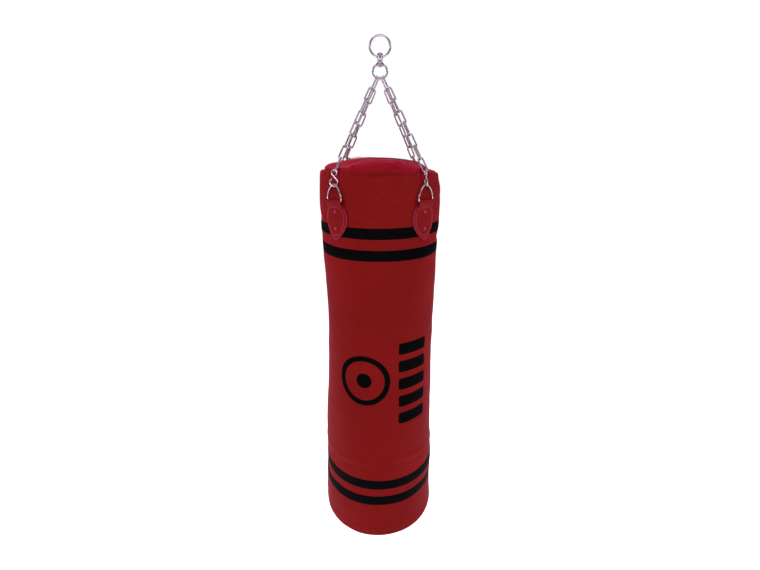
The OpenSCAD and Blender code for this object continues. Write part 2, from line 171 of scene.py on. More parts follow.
def vinyl(name, dark, mid, light, rough=(0.38, 0.56), grain=620, depth=0.00022,
          sheen=0.0, tint=(1, 0.2, 0.5, 1), coat=0.0, spec=0.2):
    m = Nodes(name)
    broad = m.noise(5.5, 4.0, 0.55)
    tone = m.ramp(broad, "Fac", [(0.30, dark), (0.52, mid), (0.74, light)])
    m.link(tone, "Color", m.bsdf, "Base Color")
    fine = m.noise(230, 5.0, 0.6)
    gloss = m.ramp(fine, "Fac", [(0.25, (rough[0],) * 3), (0.8, (rough[1],) * 3)])
    m.link(gloss, "Color", m.bsdf, "Roughness")
    cells = m.voronoi(grain)
    pits = m.ramp(cells, "Distance", [(0.0, (0, 0, 0)), (0.22, (1, 1, 1))])
    b1 = m.bump(pits, "Color", 0.55, depth)
    pores = m.noise(1500, 3.0, 0.6)
    b2 = m.bump(pores, "Fac", 0.30, depth * 0.8, b1)
    sag = m.noise(16, 3.0, 0.5)
    b3 = m.bump(sag, "Fac", 0.35, 0.0022, b2)
    m.link(b3, "Normal", m.bsdf, "Normal")
    m.set("Specular IOR Level", spec)
    if sheen:
        m.set("Sheen Weight", sheen)
        m.set("Sheen Roughness", 0.4)
        m.set("Sheen Tint", tint)
    if coat:
        m.set("Coat Weight", coat)
        m.set("Coat Roughness", 0.3)
    return m.mat


def plated(name, low, high, rough=(0.10, 0.26), scratch=0.10):
    m = Nodes(name)
    cloud = m.noise(60, 4.0, 0.6)
    tone = m.ramp(cloud, "Fac", [(0.3, low), (0.7, high)])
    m.link(tone, "Color", m.bsdf, "Base Color")
    wear = m.noise(420, 4.0, 0.65)
    gloss = m.ramp(wear, "Fac", [(0.3, (rough[0],) * 3), (0.75, (rough[1],) * 3)])
    m.link(gloss, "Color", m.bsdf, "Roughness")
    lines = m.place(scale=(900, 900, 240))
    grain = m.noise(1.0, 3.0, 0.5, at=lines)
    b = m.bump(grain, "Fac", scratch, 0.00006)
    m.link(b, "Normal", m.bsdf, "Normal")
    m.set("Metallic", 1.0)
    return m.mat


def woven(name, dark, light, pitch=0.0011):
    m = Nodes(name)
    k = 1 / pitch
    waves = []
    for axis in ("X", "Y"):
        w = m.tree.nodes.new("ShaderNodeTexWave")
        w.bands_direction = axis
        w.inputs["Scale"].default_value = k / 6.2
        w.inputs["Distortion"].default_value = 0.6
        w.inputs["Detail"].default_value = 1.0
        m.link(m.coord, "Object", w, "Vector")
        waves.append(w)
    mix = m.tree.nodes.new("ShaderNodeMath")
    mix.operation = "MULTIPLY"
    m.link(waves[0], "Fac", mix, 0)
    m.link(waves[1], "Fac", mix, 1)
    tone = m.ramp(mix, "Value", [(0.0, dark), (1.0, light)])
    m.link(tone, "Color", m.bsdf, "Base Color")
    b = m.bump(mix, "Value", 0.7, 0.0003)
    m.link(b, "Normal", m.bsdf, "Normal")
    m.set("Roughness", 0.85)
    m.set("Specular IOR Level", 0.05)
    return m.mat


def thread(name, dark, light, rough=0.5):
    m = Nodes(name)
    twist = m.place(scale=(1400, 1400, 900), rotation=(0.5, 0.4, 0.3))
    n = m.noise(1.0, 2.0, 0.5, at=twist)
    tone = m.ramp(n, "Fac", [(0.3, dark), (0.7, light)])
    m.link(tone, "Color", m.bsdf, "Base Color")
    b = m.bump(n, "Fac", 0.6, 0.0002)
    m.link(b, "Normal", m.bsdf, "Normal")
    m.set("Roughness", rough)
    return m.mat


RED = vinyl("vinyl_red", (0.200, 0.0062, 0.0056), (0.225, 0.0070, 0.0064), (0.255, 0.0080, 0.0080),
            rough=(0.42, 0.60), sheen=0.20, tint=(1.0, 0.02, 0.20, 1), spec=0.03)
# The bag's red painted brighter and more magenta for the top cover: painted light from above on the crown
LIT_COVER_RED = vinyl("vinyl_cover_painted_toplight", (0.262, 0.0046, 0.0100), (0.300, 0.0052, 0.0125), (0.345, 0.0060, 0.0160),
              rough=(0.36, 0.54), sheen=0.20, tint=(1.0, 0.02, 0.26, 1), spec=0.04)
TRIM = vinyl("vinyl_trim", (0.200, 0.0056, 0.0066), (0.228, 0.0066, 0.0080), (0.260, 0.0080, 0.0110),
             rough=(0.32, 0.50), grain=760, sheen=0.05, tint=(1.0, 0.03, 0.25, 1), spec=0.05)
# A brighter, more magenta copy of the trim for the tab's base layer: a painted highlight along the tabs' edges
TRIM_EDGE_HIGHLIGHT = vinyl("vinyl_trim_painted_edge_highlight", (0.215, 0.0060, 0.0150), (0.250, 0.0070, 0.0200), (0.290, 0.0090, 0.0260),
                  rough=(0.30, 0.46), grain=760, sheen=0.10, tint=(1.0, 0.03, 0.35, 1), spec=0.06)
BLACK = vinyl("vinyl_black", (0.0008, 0.0008, 0.0012), (0.0014, 0.0014, 0.0020), (0.0024, 0.0024, 0.0032),
              rough=(0.50, 0.66), grain=560, depth=0.00014, spec=0.025)
PRINT = vinyl("print_black", (0.0008, 0.0008, 0.0011), (0.0014, 0.0014, 0.0018), (0.0022, 0.0022, 0.0028),
              rough=(0.55, 0.70), grain=620, depth=0.00010, spec=0.02)
# Plated steel whose colour is tinted lavender to purple: a painted reflection of the red bag and the room in the
# metal
STEEL_LAVENDER_REFLECTION = plated("steel_plated_painted_reflection", (0.62, 0.53, 0.65), (0.86, 0.79, 0.89), rough=(0.07, 0.18))
ENAMEL = vinyl("enamel_red", (0.46, 0.010, 0.060), (0.52, 0.013, 0.080), (0.58, 0.018, 0.100),
               rough=(0.18, 0.30), grain=90, depth=0.00003, coat=0.15, spec=0.25)
TAPE = woven("tape_red", (0.070, 0.0030, 0.0030), (0.170, 0.0060, 0.0060))
TEETH = vinyl("teeth_red", (0.100, 0.0030, 0.0034), (0.130, 0.0040, 0.0044), (0.160, 0.0050, 0.0056),
              rough=(0.28, 0.40), grain=900, depth=0.00003, spec=0.08)
ENAMEL_DARK = vinyl("enamel_dark", (0.100, 0.0030, 0.0034), (0.120, 0.0036, 0.0040), (0.150, 0.0046, 0.0050),
                    rough=(0.24, 0.36), grain=90, depth=0.00003, spec=0.08)
THREAD = thread("thread_red", (0.62, 0.030, 0.120), (0.85, 0.075, 0.220))
THREAD_DARK = thread("thread_dark", (0.14, 0.006, 0.010), (0.24, 0.014, 0.022))


# ---------------------------------------------------------------- the skin's form

def side_radius(d):
    return (BAG_R - 7 * (0.5 + 0.5 * math.cos(math.radians(360 * (d - 470) / 760)))
            + 6 * (d / BAG_H) ** 6)


# How far the settled filling leans the wall to -X, by depth
LEAN = ((0, 1.5), (44, 2.2), (76, -0.6), (110, -0.3), (150, 0.4), (205, 0.1), (250, 0.2), (300, -1.6), (400, -1.8),
        (450, -1.2), (510, 0.8),
        (610, 1.6), (670, 3.6), (730, 4.6), (850, 3.0), (905, 5.0), (950, 5.6), (1008, 4.5))
# How far the wall stands out from the even profile, by depth
SWELL = ((0, 0.4), (44, 1.0), (76, 3.9), (110, 4.0), (150, 3.4), (205, 2.0), (240, 1.4), (345, 0.7), (450, 0.0), (670, 0.6), (785, -0.2),
         (905, -0.4), (950, 0.8), (1000, 1.8))


def tab_window(az, d, reach=1.0):
    """1 on the ground a tab and its hardware cover, 0 well away from it."""
    best = 0.0
    for a in TAB_ANGLES:
        off = abs((az - a + 180) % 360 - 180) * math.pi / 180 * BAG_R
        best = max(best, 1 - smooth(36 * reach, 58 * reach, off))
    return best * smooth(16, 34, d) * (1 - smooth(196, 232, d))


def wall_radius(az, d):
    x = math.cos(math.radians(az))
    y = math.sin(math.radians(az))
    soft = -table(LEAN, d) * x + table(SWELL, d)
    p = Vector((x * 1.6, y * 1.6, d / 120))
    soft += 1.3 * noise.noise(p) + 0.6 * noise.noise(p * 2.7)
    for a0, d0, a1, d1, high, width in WALL_CREASES:
        near = (az - a0 + 180) % 360 - 180
        if abs(near) < 60 and abs(d - (d0 + d1) / 2) < 80:
            soft -= high * crease(0, d0, (a1 - a0) * 2.6, d1, near * 2.6, d, width)
    # A shallow ledge where the filling has settled above the lower bands
    ledge = 790 + 9 * math.sin(math.radians(az * 2 + 40)) + 5 * x
    soft += 1.5 * math.exp(-((d - ledge + 9) / 9) ** 2) - 1.7 * math.exp(-((d - ledge - 3) / 5) ** 2)
    return side_radius(d) - 0.15 + soft * (1 - tab_window(az, d))


def corner_off(x, y):
    """Distance in plan from the nearest of the four chain lines."""
    best = 1e9
    for a in TAB_ANGLES:
        c, s = math.cos(math.radians(a)), math.sin(math.radians(a))
        along = x * c + y * s
        if along > 0:
            best = min(best, abs(-x * s + y * c))
    return best


def crown_depth(rho):
    rim = RIM_E + RIM_ROUND * math.sin(math.radians(17.147))
    if rho < rim:
        return CROWN_ARC - math.sqrt(CROWN_ARC ** 2 - rho ** 2)
    return RIM_DEPTH - math.sqrt(max(0.0, RIM_ROUND ** 2 - (rho - RIM_E) ** 2))


COVER_R = 141.0
# Radius of the wall right behind the S-hooks, at the bottom of each dent
HOOK_SEAT_R = 135.4
# Soft creases in the top cover: two ends in plan, depth, half width
COVER_CREASES = ((-34, -108, 22, -98, 2.0, 5.0), (14, -92, 62, -110, 2.2, 4.8), (34, -104, 96, -86, 1.7, 5.5),
                 (-92, -78, -40, -108, 1.5, 6.0), (-18, -116, 48, -119, 1.7, 4.2), (60, -56, 104, -72, 1.4, 7.0),
                 (-60, -60, -12, -76, 1.2, 7.5), (-80, 86, -20, 104, 1.5, 6.0), (30, 100, 88, 80, 1.5, 6.0))
# Soft creases in the wall: two ends as angle and depth, height, half width
WALL_CREASES = ((262, 64, 276, 92, 1.9, 5.0), (266, 118, 292, 98, 2.2, 6.0), (252, 92, 262, 132, 1.8, 6.0),
                (284, 74, 294, 96, 1.8, 5.5), (272, 140, 284, 128, 1.6, 5.0), (232, 250, 262, 268, 0.8, 9.0),
                (280, 262, 304, 252, 0.8, 9.0),
                (240, 770, 290, 800, 0.9, 7.0), (70, 76, 96, 108, 1.1, 6.0), (100, 124, 118, 92, 1.0, 6.0),
                (160, 84, 184, 112, 1.0, 6.0), (346, 112, 372, 84, 1.0, 6.0), (80, 812, 120, 780, 0.9, 8.0))


def crease(px, py, qx, qy, x, y, width):
    """A soft ridge-and-valley profile beside the line from p to q, faded at its ends."""
    dx, dy = qx - px, qy - py
    ln = math.hypot(dx, dy)
    t = ((x - px) * dx + (y - py) * dy) / (ln * ln)
    if t < -0.15 or t > 1.15:
        return 0.0
    off = ((x - px) * -dy + (y - py) * dx) / ln + 0.10 * ln * math.sin(math.pi * t)
    fade = smooth(-0.15, 0.25, t) * (1 - smooth(0.75, 1.15, t))
    q = off / width
    return fade * (math.exp(-q * q) - 0.55 * math.exp(-(q - 1.7) ** 2))


def cover_depth(x, y):
    """Depth of the top cover: fuller than an even dome, lower to +X, and flat along the zip."""
    rho = math.hypot(x, y)
    even = crown_depth(min(rho, 137.0))
    full = 21 * (rho / COVER_R) ** 5.5 + 20 * max(0.0, (x + 50) / 190) ** 2.1
    full += 1.2 * noise.noise(Vector((x / 40, y / 40, 3.1)))
    for px, py, qx, qy, deep, width in COVER_CREASES:
        full += deep * crease(px, py, qx, qy, x, y, width)
    delta = min(5.0, max(-10.5, even - full))
    keep = smooth(15, 40, abs(y)) * (1 - 0.9 * smooth(96, 118, rho) * (1 - smooth(14, 38, corner_off(x, y))))
    keep = max(keep, smooth(104, 120, rho) * smooth(14, 38, corner_off(x, y)))
    return even - delta * keep


def dent(x, y, d):
    """Presses a point of the rim softly back behind the S-hook beside it."""
    for a in TAB_ANGLES:
        c, s = math.cos(math.radians(a)), math.sin(math.radians(a))
        along, off = x * c + y * s, -x * s + y * c
        if along > 100 and abs(off) < 60 and d < 112:
            seat = HOOK_SEAT_R + 4.0 * smooth(28, 50, d) + 9.8 * smooth(58, 92, d) + 8.0 * smooth(90, 112, d)
            target = seat + 14.0 * (1 - math.exp(-(off / 19.0) ** 2))
            if along > target:
                along = target
            return along * c - off * s, along * s + off * c
    return x, y


def lip_level(az):
    """Depth of the wall's rim round the bag: a little higher to -X."""
    x = math.cos(math.radians(az))
    return 33.2 + 3.2 * x + 0.9 * math.sin(math.radians(3 * az + 20)) + 0.5 * math.sin(math.radians(7 * az))


SEG = 176
COVER_ROWS = [0.10, 0.20, 0.30, 0.40, 0.50, 0.59, 0.67, 0.74, 0.80, 0.85, 0.89, 0.925, 0.955, 0.978, 0.993]
WALL_FROM, WALL_TO, WALL_ROWS = 52.0, 990.0, 132


def skin_rows(az):
    """The skin's half section at one angle, from just off the axis to just off it again underneath."""
    c, s = math.cos(math.radians(az)), math.sin(math.radians(az))
    out = []
    for f in COVER_ROWS:
        r = COVER_R * f
        out.append((r * c, r * s, cover_depth(r * c, r * s)))
    edge = out[-1][2]
    level = lip_level(az)
    pucker = 0.55 * math.sin(math.radians(az * 46)) + 0.5 * noise.noise(Vector((c * 9, s * 9, 1)))
    low = max(edge + 2.6, level - 1.5)
    out.append((COVER_R * c, COVER_R * s, edge + 1.6 + 0.4 * pucker))
    out.append(((COVER_R + 0.6) * c, (COVER_R + 0.6) * s, (edge + low) / 2 + 0.6 + 0.3 * pucker))
    out.append(((COVER_R + 1.0) * c, (COVER_R + 1.0) * s, low + 1.4))          # the seam, deep in its groove
    full = wall_radius(az, 50)
    for f, drop in ((0.16, -0.2), (0.38, -1.6), (0.62, -1.2), (0.82, 0.9), (0.95, 4.6), (1.0, 9.5)):
        r = COVER_R + 1 + (full - COVER_R - 1) * f
        out.append((r * c, r * s, level + drop + (0.7 * pucker if f < 0.7 else 0)))
    for i in range(WALL_ROWS + 1):
        d = WALL_FROM + (WALL_TO - WALL_FROM) * i / WALL_ROWS
        r = wall_radius(az, d)
        out.append((r * c, r * s, d))
    last = wall_radius(az, 995)
    for a in (14, 32, 50, 68, 82):
        t = math.radians(a)
        r = last - 11 + 11 * math.cos(t)
        out.append((r * c, r * s, 994.5 + 11 * math.sin(t)))
    for f, d in ((0.945, 1005.2), (0.925, 1003.8), (0.905, 1005.0), (0.85, 1006.4), (0.72, 1007.1), (0.55, 1007.6), (0.36, 1007.9), (0.17, 1008.0)):
        r = (last - 10) * f
        out.append((r * c, r * s, d))
    return [dent(x, y, d) + (d,) for x, y, d in out]


GROOVE_ROW = len(COVER_ROWS) + 2


def build_skin():
    columns = [skin_rows(360 * i / SEG) for i in range(SEG)]
    rows = len(columns[0])
    verts = [(0, 0, CROWN_Z - crown_depth(0))]
    for r in range(rows):
        for i in range(SEG):
            x, y, d = columns[i][r]
            verts.append((x, y, CROWN_Z - d))
    verts.append((0, 0, FOOT_Z))
    faces = [(0, 1 + i, 1 + (i + 1) % SEG) for i in range(SEG)]
    for r in range(rows - 1):
        a, b = 1 + r * SEG, 1 + (r + 1) * SEG
        for i in range(SEG):
            j = (i + 1) % SEG
            faces.append((a + i, b + i, b + j, a + j))
    end = 1 + (rows - 1) * SEG
    faces += [(end + (i + 1) % SEG, end + i, len(verts) - 1) for i in range(SEG)]
    return verts, faces


skin_verts, skin_faces = build_skin()
skin = mesh_object("bag_skin", skin_verts, skin_faces, RED)


def relax_skin():
    """Lets the vinyl settle under the filling's pressure, held at the seams, tabs and zip."""
    held = skin.vertex_groups.new(name="held")
    rest = [v.co.copy() for v in skin.data.vertices]
    weights = []
    for i, v in enumerate(rest):
        x, y, d = v.x / MM, v.y / MM, CROWN_Z - v.z / MM
        az = math.degrees(math.atan2(y, x)) % 360
        row = (i - 1) // SEG
        w = tab_window(az, d, 0.9)
        rho = math.hypot(x, y)
        if d < 40:
            w = max(w, 1 - smooth(30, 62, abs(y)) if rho < 128 else 0)
            w = max(w, (1 - smooth(18, 34, corner_off(x, y))) * smooth(90, 110, rho))
        if row == GROOVE_ROW or i == 0:
            w = 1.0
        if d > 1003 and rho < 134:
            w = 1.0
        w = max(w, 0.03)
        weights.append(w)
        held.add([i], w, "REPLACE")
    cloth = skin.modifiers.new("settle", "CLOTH")
    st = cloth.settings
    st.quality = 4
    st.mass = 0.3
    st.tension_stiffness = 12
    st.compression_stiffness = 6
    st.shear_stiffness = 4
    st.bending_stiffness = 0.35
    st.use_pressure = True
    st.uniform_pressure_force = 1.6
    st.shrink_min = -0.012
    st.vertex_group_mass = "held"
    st.pin_stiffness = 1.0
    st.effector_weights.gravity = 0
    cloth.collision_settings.use_self_collision = False
    cloth.collision_settings.use_collision = False
    scene = bpy.context.scene
    for f in range(1, 21):
        scene.frame_set(f)
    apply_modifiers(skin)
    scene.frame_set(1)
    for i, v in enumerate(skin.data.vertices):
        move = v.co - rest[i]
        cap = 0.0045 * (1 - weights[i]) + 0.0001
        if move.length > cap:
            move *= cap / move.length
        v.co = rest[i] + move
    skin.vertex_groups.clear()


relax_skin()

sub = skin.modifiers.new("round", "SUBSURF")
sub.levels = 1
sub.render_levels = 1
apply_modifiers(skin)
skin.data.shade_smooth()
# Faces inside the rim seam take the brighter copy of the red: painted light on the top of the bag
skin.data.materials.append(LIT_COVER_RED)
for face in skin.data.polygons:
    if math.hypot(face.center.x, face.center.y) < (COVER_R + 1.0) * MM and face.center.z > (CROWN_Z - 60) * MM:
        face.material_index = 1
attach(skin, "bag")
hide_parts("shell_wall", "top_cover", "bottom_cover", "wall_padding", "filling")

skin_tree = BVHTree.FromPolygons([v.co.copy() for v in skin.data.vertices],
                                 [tuple(p.vertices) for p in skin.data.polygons])


def on_wall(az, d):
    """Point and outward normal on the skin at one angle and depth."""
    c, s = math.cos(math.radians(az)), math.sin(math.radians(az))
    hit, normal, _, _ = skin_tree.ray_cast(Vector((c * 0.3, s * 0.3, (CROWN_Z - d) * MM)), Vector((-c, -s, 0)))
    if normal.dot(Vector((c, s, 0))) < 0:
        normal = -normal
    return hit / MM, normal


def on_crown(x, y):
    hit, normal, _, _ = skin_tree.ray_cast(Vector((x * MM, y * MM, -0.2)), Vector((0, 0, -1)))
    if normal.z < 0:
        normal = -normal
    return hit / MM, normal


# ---------------------------------------------------------------- stitches

def stitches(name, path, length, width, height, material, body="bag", gap=None):
    """A row of thread stitches along path, a list of (point, normal) in millimetres."""
    pts = [Vector(p) for p, n in path]
    nrm = [Vector(n) for p, n in path]
    run = [0.0]
    for a, b in zip(pts, pts[1:]):
        run.append(run[-1] + (b - a).length)
    step = length + (gap if gap is not None else length * 0.45)
    count = int(run[-1] / step)

    def at(s):
        k = max(0, min(len(run) - 2, int(np.searchsorted(run, s)) - 1))
        t = (s - run[k]) / max(1e-9, run[k + 1] - run[k])
        return pts[k].lerp(pts[k + 1], t), nrm[k].lerp(nrm[k + 1], t).normalized()

    verts, faces = [], []
    sections = ((0.0, 0.25, -0.35), (0.16, 0.8, 0.55), (0.5, 1.0, 1.0), (0.84, 0.8, 0.55), (1.0, 0.25, -0.35))
    sides = 6
    for i in range(count):
        s0 = (i + 0.5) * step - length / 2
        base = len(verts)
        for f, w, h in sections:
            p, n = at(s0 + f * length)
            q, _ = at(s0 + f * length + 0.05)
            along = (q - p).normalized()
            side = n.cross(along).normalized()
            for k in range(sides):
                a = 2 * math.pi * k / sides
                verts.append(p + side * (math.cos(a) * width / 2 * w) + n * (height * (0.5 * h + math.sin(a) * 0.5 * w)))
        for r in range(len(sections) - 1):
            for k in range(sides):
                j = (k + 1) % sides
                a = base + r * sides
                faces.append((a + k, a + j, a + sides + j, a + sides + k))
        faces.append(tuple(base + k for k in range(sides))[::-1])
        faces.append(tuple(base + (len(sections) - 1) * sides + k for k in range(sides)))
    ob = mesh_object(name, verts, faces, material)
    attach(ob, body)
    return ob


# ---------------------------------------------------------------- bands

def band(name, lo, hi):
    """A strip that lies on the wall, with softly turned edges."""
    segs = 240
    rows = ((0.0, -0.25), (0.035, 0.34), (0.10, 0.55), (0.30, 0.60), (0.5, 0.62), (0.70, 0.60), (0.90, 0.55),
            (0.965, 0.34), (1.0, -0.25), (0.75, -0.4), (0.5, -0.4), (0.25, -0.4))
    verts, faces = [], []
    for f, up in rows:
        for i in range(segs):
            az = 360 * i / segs
            d = lo + (hi - lo) * f + 0.5 * math.sin(math.radians(az * 2 + 50)) + 0.4 * math.sin(math.radians(az * 5))
            p, n = on_wall(az, d)
            out = Vector((math.cos(math.radians(az)), math.sin(math.radians(az)), 0))
            verts.append(p + out * up)
    for r in range(len(rows) - 1):
        for i in range(segs):
            j = (i + 1) % segs
            faces.append((r * segs + i, (r + 1) * segs + i, (r + 1) * segs + j, r * segs + j))
    last = (len(rows) - 1) * segs
    for i in range(segs):
        j = (i + 1) % segs
        faces.append((last + i, i, j, last + j))
    ob = mesh_object(name, verts, faces, BLACK)
    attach(ob, "bag")
    return ob


band_objects = [band(f"band_{i + 1}", lo, hi) for i, (lo, hi) in enumerate(BANDS)]
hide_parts("upper_bands")
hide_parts("lower_bands")


# ---------------------------------------------------------------- generic print

def decal(name, outline_faces, lift=0.16):
    """A thin printed patch: outline_faces is a list of (grid of (az, depth)) sheets."""
    verts, faces = [], []
    for grid in outline_faces:
        base = len(verts)
        nu, nv = len(grid), len(grid[0])
        for row in grid:
            for az, d in row:
                p, n = on_wall(az, d)
                verts.append(p + n * lift)
        for a in range(nu - 1):
            for b in range(nv - 1):
                i = base + a * nv + b
                faces.append((i, i + nv, i + nv + 1, i + 1))
    ob = mesh_object(name, verts, faces, PRINT)
    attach(ob, "bag")
    return ob


def degrees_of(mm):
    return mm / 143.0 * 180 / math.pi


def ring_sheet(az, d, r0, r1, n=72):
    turns = [2 * math.pi * i / n for i in range(n + 1)]
    return [[(az + degrees_of(r * math.cos(a)), d + r * math.sin(a)) for r in np.linspace(r0, r1, 6)] for a in turns]


def bar_sheet(az, d, w, h, slant=0.0, radius=5.0):
    rows = []
    for i in range(25):
        y = -h / 2 + h * i / 24
        cut = 0.0
        edge = h / 2 - abs(y)
        if edge < radius:
            cut = radius - math.sqrt(max(0.0, radius ** 2 - (radius - edge) ** 2))
        half = w / 2 - cut
        rows.append([(az + degrees_of(x + slant * y), d + y) for x in np.linspace(-half, half, 13)])
    return rows


EMBLEM_AZ, EMBLEM_D = 253.5, 549.0
MARK_AZ, MARK_D = 306.0, 560.0
RING_IN, RING_OUT, DOT_R = 53, 67, 20
BAR_L, BAR_W, BAR_STEP = 84, 31, 48
decal("print_target", [ring_sheet(EMBLEM_AZ, EMBLEM_D, RING_IN, RING_OUT), ring_sheet(EMBLEM_AZ, EMBLEM_D, 0.01, DOT_R)])
decal("print_bars", [bar_sheet(MARK_AZ, MARK_D + k * BAR_STEP, BAR_L, BAR_W) for k in range(-2, 3)])


# ---------------------------------------------------------------- tabs

TAB_BACK = BAG_R + 0.8
TAB_TIP = 98.0
WIDEST = 40.0


def tab_half(y, inset=0.0):
    """Half width of a tab's base at a distance below the bar."""
    if y < 11:
        w = 26.5 + 2.5 * smooth(0, 11, y)
    elif y < WIDEST:
        w = 29 + 10.0 * math.sin(math.radians(90 * (y - 11) / (WIDEST - 11)))
    else:
        w = 39.0 * (1 - ((y - WIDEST) / (TAB_TIP - WIDEST)) ** 2)
    return max(0.0, w - inset)


def wrap(a0, u, radius, z):
    """Point at arc length u round the bag from the tab's middle."""
    a = math.radians(a0) + u / BAG_R
    return Vector((radius * math.cos(a), radius * math.sin(a), z))


def border(rows, cols):
    """Indices round the edge of a grid of points, once round from its first corner."""
    loop = [c for c in range(cols)] + [r * cols + cols - 1 for r in range(1, rows)]
    loop += [(rows - 1) * cols + c for c in range(cols - 2, -1, -1)]
    return loop + [r * cols for r in range(rows - 2, 0, -1)]


def shield(a0, top, inset, r0, thick, crown=0.0, round_edge=0.8):
    """A closed curved plate of tab outline, top down to its tip, wrapped round the bag."""
    rows, cols = 46, 27
    tip = TAB_TIP - inset * 1.75
    ys = [top + (tip - top) * (1 - math.cos(math.pi * i / (rows - 1))) / 2 for i in range(rows)]
    verts, faces = [], []
    for layer in (1, 0):
        for y in ys:
            half = max(0.35, tab_half(y, inset) if y < tip else 0.35)
            half = min(half, tab_half(max(y, 11), inset) if y < 11 else half)
            for c in range(cols):
                t = -math.cos(math.pi * c / (cols - 1))
                u = half * t
                edge = min(half * (1 - abs(t)), (y - top) * 1.0, (tip - y) * 0.5 + 0.001)
                roll = math.sqrt(max(0.0, 1 - (1 - min(1.0, edge / round_edge)) ** 2)) if layer else 0.0
                swell = crown * smooth(0, 14, edge)
                r = r0 + (thick * (0.35 + 0.65 * roll) + swell if layer else 0.0)
                verts.append(wrap(a0, u, r, CROWN_Z - BAR_DEPTH - y))
    n = rows * cols
    for r in range(rows - 1):
        for c in range(cols - 1):
            i = r * cols + c
            faces.append((i, i + cols, i + cols + 1, i + 1))
            faces.append((n + i, n + i + 1, n + i + cols + 1, n + i + cols))
    rim = border(rows, cols)
    for a, b in zip(rim, rim[1:] + rim[:1]):
        faces.append((a, b, n + b, n + a))
    return verts, faces


def sleeve(a0):
    """The base's top folded over the D-ring's bar: a flattened loop with its ends open."""
    cols = 31
    loop = []
    for i in range(9):
        t = math.radians(180 - 22.5 * i)
        loop.append((3.4 * math.cos(t) * 1.0, 3.6 * math.sin(t)))
    path = [(-3.2, -13.0), (-3.3, -8.0), (-3.4, -3.0)] + loop[0:] + [(3.3, -3.0), (2.2, -8.0), (0.1, -13.0)]
    verts, faces = [], []
    thick = 0.9
    sets = []
    for side in (0.0, thick):
        ring = []
        for k, (x, z) in enumerate(path):
            k0, k1 = max(0, k - 1), min(len(path) - 1, k + 1)
            tx, tz = path[k1][0] - path[k0][0], path[k1][1] - path[k0][1]
            ln = math.hypot(tx, tz) or 1
            nx, nz = -tz / ln, tx / ln
            ring.append((x - nx * side * 0 + (nx * side), z + nz * side))
        sets.append(ring)
    m = len(path)
    for ring in sets:
        for (x, z) in ring:
            for c in range(cols):
                t = -1 + 2 * c / (cols - 1)
                half = 26.3 if z > -6 else 26.3 + (28.4 - 26.3) * smooth(-6, -13, z)
                u = half * t
                sag = 0.35 * math.sin(c * 1.3) * (1 if z > 0 else 0.4)
                a = math.radians(a0)
                # the fold follows the straight bar, then the wall's curve lower down
                flat = 1 - smooth(0, 1, (-z - 1) / 10)
                straight = Vector((math.cos(a), math.sin(a), 0)) * (153 + x) + Vector((-math.sin(a), math.cos(a), 0)) * u
                curved = wrap(a0, u, 153 + x, 0)
                p = curved.lerp(straight, flat)
                verts.append(Vector((p.x, p.y, CROWN_Z - BAR_DEPTH + z + sag * 0.3)))
    n = m * cols
    for r in range(m - 1):
        for c in range(cols - 1):
            i = r * cols + c
            faces.append((i, i + 1, i + cols + 1, i + cols))
            faces.append((n + i, n + i + cols, n + i + cols + 1, n + i + 1))
    rim = border(m, cols)
    for a, b in zip(rim, rim[1:] + rim[:1]):
        faces.append((a, n + a, n + b, b))
    return verts, faces


def outline_path(a0, top, inset, radius, closed_top=True):
    """Path round a shield's edge for the stitches."""
    tip = TAB_TIP - inset * 1.75
    pts = []
    n = 60
    right = [(tab_half(top + (tip - top) * i / n, inset), top + (tip - top) * i / n) for i in range(n)]
    left = [(-u, y) for u, y in reversed(right)]
    loop = right + [(0.0, tip)] + left
    if closed_top:
        k = 16
        w = right[0][0]
        loop += [(-w + 2 * w * i / k, top) for i in range(1, k + 1)]
    for u, y in loop:
        p = wrap(a0, u, radius, CROWN_Z - BAR_DEPTH - y)
        n_ = Vector((p.x, p.y, 0)).normalized()
        pts.append((p, n_))
    return pts


def tab(index, a0):
    name = ("front_left", "front_right", "rear_right", "rear_left")[index]
    v, f = shield(a0, 4.0, 0.0, TAB_BACK + 0.02, 1.15)
    base = mesh_object(f"tab_base_{name}", v, f, TRIM)
    v, f = shield(a0, 12.5, 7.0, TAB_BACK + 1.0, 1.32, crown=0.15, round_edge=1.6)
    patch = mesh_object(f"tab_patch_{name}", v, f, TRIM)
    v, f = sleeve(a0)
    fold = mesh_object(f"tab_fold_{name}", v, f, TRIM)
    # The base layer showing round the patch gets the brighter trim copy: a painted edge highlight
    base.data.materials[0] = TRIM_EDGE_HIGHLIGHT
    for ob in (base, patch, fold):
        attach(ob, "bag")
    stitches(f"tab_stitch_{name}", outline_path(a0, 15.0, 9.6, TAB_BACK + 2.15), 3.3, 1.35, 0.75, THREAD,
             gap=1.4)
    stitches(f"tab_edge_stitch_{name}", outline_path(a0, 15.0, 3.2, TAB_BACK + 1.1, closed_top=False),
             3.0, 1.0, 0.5, THREAD, gap=1.6)
    return base


tab_objects = [tab(i, a) for i, a in enumerate(TAB_ANGLES)]
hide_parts("strap_tabs")


# ---------------------------------------------------------------- seams

seam = []
for i in range(241):
    az = 360 * i / 240
    c, s = math.cos(math.radians(az)), math.sin(math.radians(az))
    x, y = dent((COVER_R + 4.6) * c, (COVER_R + 4.6) * s, 20)
    seam.append(on_crown(x, y))
stitches("rim_stitch", seam, 4.2, 0.9, 0.5, THREAD_DARK, gap=2.2)

foot_seam = []
for i in range(241):
    az = 360 * i / 240
    foot_seam.append(on_wall(az, 987.0))
stitches("foot_stitch", foot_seam, 4.2, 0.9, 0.5, THREAD_DARK, gap=2.2)


